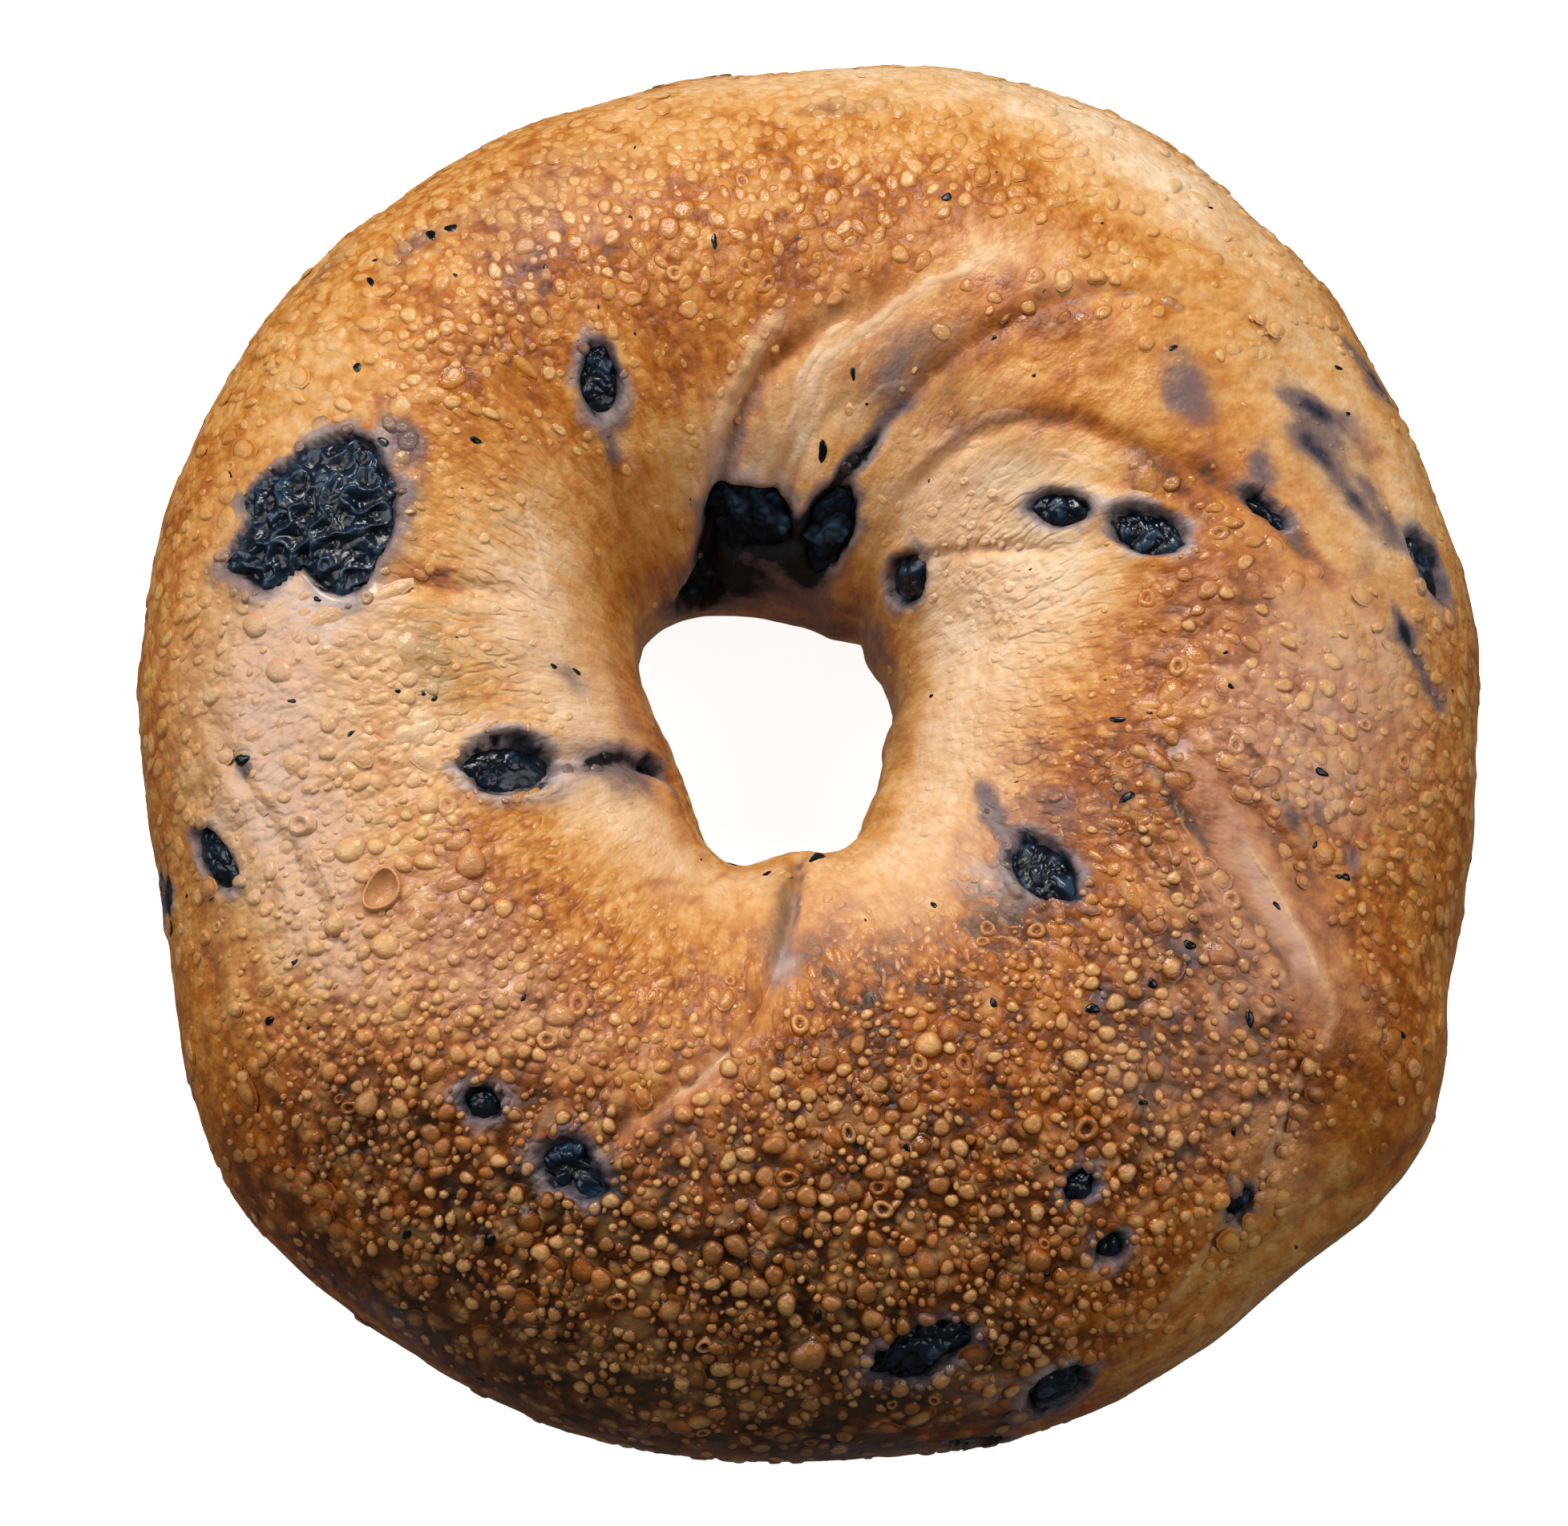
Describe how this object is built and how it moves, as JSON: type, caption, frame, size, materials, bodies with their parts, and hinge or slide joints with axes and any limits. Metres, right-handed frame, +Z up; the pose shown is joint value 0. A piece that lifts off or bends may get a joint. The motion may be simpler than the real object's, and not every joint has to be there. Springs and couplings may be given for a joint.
{
  "type": "bagel",
  "caption": "Ring of baked bread with a round hole, a flat base, a blistered brown crust and blueberries set in it.",
  "frame": {"origin": "middle of the ring's outer box, on the flat base that it rests on", "axes": "+Z up through the hole, -Y towards the well-blistered front, +X towards the stretched right side"},
  "size_m": [0.11, 0.1182, 0.0399],
  "materials": {
    "crust": "satin",
    "berry_skin": "satin"
  },
  "bodies": {
    "root": {"bagel": "crust", "berry_big_left": "berry_skin", "berry_upper_left": "berry_skin", "berry_hole_back": "berry_skin", "berry_hole_back_right": "berry_skin", "berry_hole_low": "berry_skin", "berry_hole_right": "berry_skin", "berry_eye_left": "berry_skin", "berry_eye_right": "berry_skin", "berry_glossy_left": "berry_skin", "berry_strip_left": "berry_skin", "berry_edge_left": "berry_skin", "berry_waist_left": "berry_skin", "berry_inner_right": "berry_skin", "berry_front_round": "berry_skin", "berry_front_crumbly": "berry_skin", "berry_edge_right": "berry_skin", "berry_ledge_right": "berry_skin", "berry_shoulder_right": "berry_skin", "berry_bead_right": "berry_skin", "berry_bead_front": "berry_skin", "berry_low_front": "berry_skin", "berry_rim_front": "berry_skin", "berry_rim_front_low": "berry_skin", "berry_side_back": "berry_skin", "berry_side_back_left": "berry_skin", "berry_side_back_right": "berry_skin", "berry_side_left": "berry_skin", "berry_side_right": "berry_skin", "berry_side_front": "berry_skin", "berry_hole_front": "berry_skin"}
  },
  "joints": []
}
